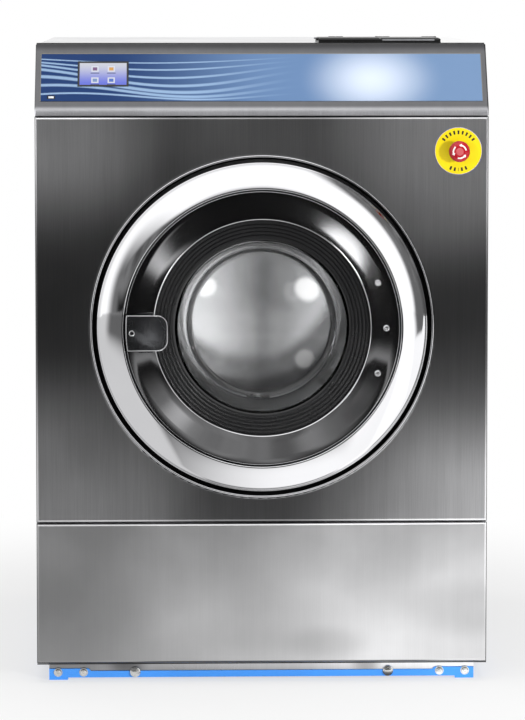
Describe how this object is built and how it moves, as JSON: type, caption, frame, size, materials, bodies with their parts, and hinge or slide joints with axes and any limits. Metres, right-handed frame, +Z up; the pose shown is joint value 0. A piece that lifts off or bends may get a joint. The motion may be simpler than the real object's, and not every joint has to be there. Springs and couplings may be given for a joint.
{
  "type": "washing machine",
  "caption": "Free-standing industrial front-loading washer with brushed steel panels, round polished door, inclined touchscreen console, emergency stop and top detergent hopper.",
  "frame": {"origin": "on the floor, under the middle of the machine's box", "axes": "+X to the right seen from the front, +Y to the back, +Z up"},
  "size_m": [0.86, 0.9966, 1.2303],
  "materials": {
    "stainless_brushed": "vertical brushed grain",
    "stainless_polished": "mirror polished",
    "base_paint": "satin blue paint",
    "fastener_steel": "zinc plated",
    "frame_paint": "grey primer",
    "black_plastic": "fine texture",
    "overlay_film": "printed film",
    "screen_glass": "gloss black",
    "stop_yellow": "gloss",
    "stop_red": "gloss",
    "black_rubber": "matt rubber",
    "door_glass": "clear",
    "stainless_tub": "satin",
    "cast_parts": "cast",
    "machined_steel": "turned",
    "valve_plastic": "moulded"
  },
  "bodies": {
    "cabinet": {"base_front_rail": "base_paint", "base_rails": "base_paint", "foot_plates": "base_paint", "base_bolts": "fastener_steel", "plinth_strip": "stainless_brushed", "corner_posts": "frame_paint", "side_panel_left": "stainless_brushed", "side_panel_right": "stainless_brushed", "rear_panel": "stainless_brushed", "top_panel": "stainless_brushed", "front_panel": "stainless_brushed", "lower_panel": "stainless_brushed", "console_housing": "stainless_brushed", "console_overlay": "overlay_film", "touchscreen": "screen_glass", "usb_socket": "black_plastic", "control_unit": "black_plastic", "stop_disc": "stop_yellow", "stop_switch": "black_plastic", "hopper_box": "black_plastic", "hopper_hinge_pin": "fastener_steel", "inlet_valves": "valve_plastic", "fill_hose": "black_rubber", "drain_outlet": "black_plastic", "drain_hose": "black_rubber", "cable_gland": "black_plastic", "damper_cylinders": "frame_paint", "suspension_springs": "machined_steel", "gap_bellows": "black_rubber"},
    "tub": {"tub_shell": "stainless_tub", "tub_front": "stainless_tub", "tub_back": "cast_parts", "drum_bearings": "machined_steel", "shaft_seal": "black_rubber", "cradle": "frame_paint", "motor": "frame_paint", "drive_belt": "black_rubber", "damper_rods": "machined_steel", "drain_valve": "valve_plastic", "hinge_bracket": "frame_paint", "hinge_pin": "fastener_steel", "door_lock": "black_plastic"},
    "drum": {"drum_shell": "stainless_tub", "drum_back": "stainless_tub", "drum_lifters": "stainless_tub", "drum_shaft": "machined_steel", "drum_pulley": "cast_parts"},
    "motor_rotor": {"motor_pulley": "machined_steel"},
    "door": {"door_ring": "stainless_polished", "door_dish": "stainless_polished", "door_gasket": "black_rubber", "door_glass": "door_glass", "hinge_arm": "frame_paint", "hinge_screws": "stainless_polished", "door_tongue": "fastener_steel"},
    "handle": {"door_handle": "stainless_polished"},
    "bolt": {"lock_bolt": "fastener_steel"},
    "stop_plunger": {"stop_stem": "black_plastic"},
    "stop_cap": {"stop_head": "stop_red"},
    "lid": {"hopper_lid": "black_plastic"}
  },
  "joints": [
    {"name": "tub_float", "type": "slide", "parent": "cabinet", "child": "tub", "axis": [0, 0, 1], "range_m": [-0.008, 0.008], "stiffness_N_per_m": 60000, "springref_m": 0.03919, "deforming": ["suspension_springs", "gap_bellows", "fill_hose", "drain_hose"]},
    {"name": "drum_spin", "type": "hinge", "parent": "tub", "child": "drum", "pos_m": [0, -0.162, 0.683], "axis": [0, 1, 0], "continuous": true},
    {"name": "motor_spin", "type": "hinge", "parent": "tub", "child": "motor_rotor", "pos_m": [0.15, 0.238, 0.18], "axis": [0, 1, 0], "continuous": true},
    {"name": "door_swing", "type": "hinge", "parent": "tub", "child": "door", "pos_m": [0.29, -0.468, 0.683], "axis": [0, 0, 1], "range_deg": [0, 120]},
    {"name": "handle_pull", "type": "hinge", "parent": "door", "child": "handle", "pos_m": [-0.25, -0.4855, 0.675], "axis": [0, 0, -1], "range_deg": [0, 15], "stiffness_Nm_per_rad": 2, "springref_deg": -2.86},
    {"name": "lock_throw", "type": "slide", "parent": "tub", "child": "bolt", "axis": [0, 0, -1], "range_m": [0, 0.012], "stiffness_N_per_m": 200, "springref_m": -0.004},
    {"name": "stop_push", "type": "slide", "parent": "cabinet", "child": "stop_plunger", "axis": [0, 1, 0], "range_m": [0, 0.006], "stiffness_N_per_m": 1500, "springref_m": -0.002},
    {"name": "stop_twist", "type": "hinge", "parent": "stop_plunger", "child": "stop_cap", "pos_m": [0.372, -0.482, 1.0175], "axis": [0, 1, 0], "range_deg": [0, 45], "stiffness_Nm_per_rad": 0.4, "springref_deg": -2.86},
    {"name": "lid_lift", "type": "hinge", "parent": "cabinet", "child": "lid", "pos_m": [0.23, -0.189, 1.2268], "axis": [-1, 0, 0], "range_deg": [0, 95]}
  ],
  "couplings": [
    {"joint": "motor_spin", "follows": "drum_spin", "ratio": 5}
  ]
}
